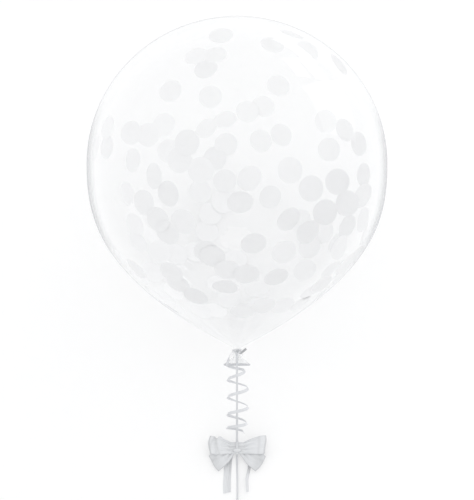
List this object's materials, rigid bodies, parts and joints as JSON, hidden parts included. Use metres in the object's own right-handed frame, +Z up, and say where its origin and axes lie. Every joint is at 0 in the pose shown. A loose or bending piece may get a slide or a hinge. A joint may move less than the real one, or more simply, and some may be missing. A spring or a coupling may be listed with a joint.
{
  "type": "confetti balloon",
  "caption": "Clear round latex balloon with white confetti inside, knotted neck, curled ribbon and a satin bow on its ribbon, lying on its side.",
  "frame": {"origin": "on the floor, under the middle of the box of the balloon and the ribbon tied round its neck", "axes": "+Z up, +Y along the floor from the knotted neck towards the crown, +X to the right seen from the neck's side"},
  "size_m": [0.3, 0.4991, 0.3018],
  "materials": {
    "clear_latex": "thin clear latex film, glossy, with a faint milky tint",
    "silver_ribbon": "pale silver curling ribbon with fine lengthwise ribs",
    "bow_satin": "pale silver satin ribbon with a soft sheen",
    "confetti_paper": "white tissue paper discs"
  },
  "bodies": {
    "root": {"balloon": "clear_latex", "ribbon_knot": "silver_ribbon", "ribbon_top": "silver_ribbon", "ribbon_curl": "silver_ribbon", "ribbon_bottom": "silver_ribbon", "bow_loops": "bow_satin", "bow_tie": "bow_satin", "ribbon_lead": "silver_ribbon", "ribbon_coil": "silver_ribbon", "coil_tie": "silver_ribbon"}
  },
  "joints": []
}
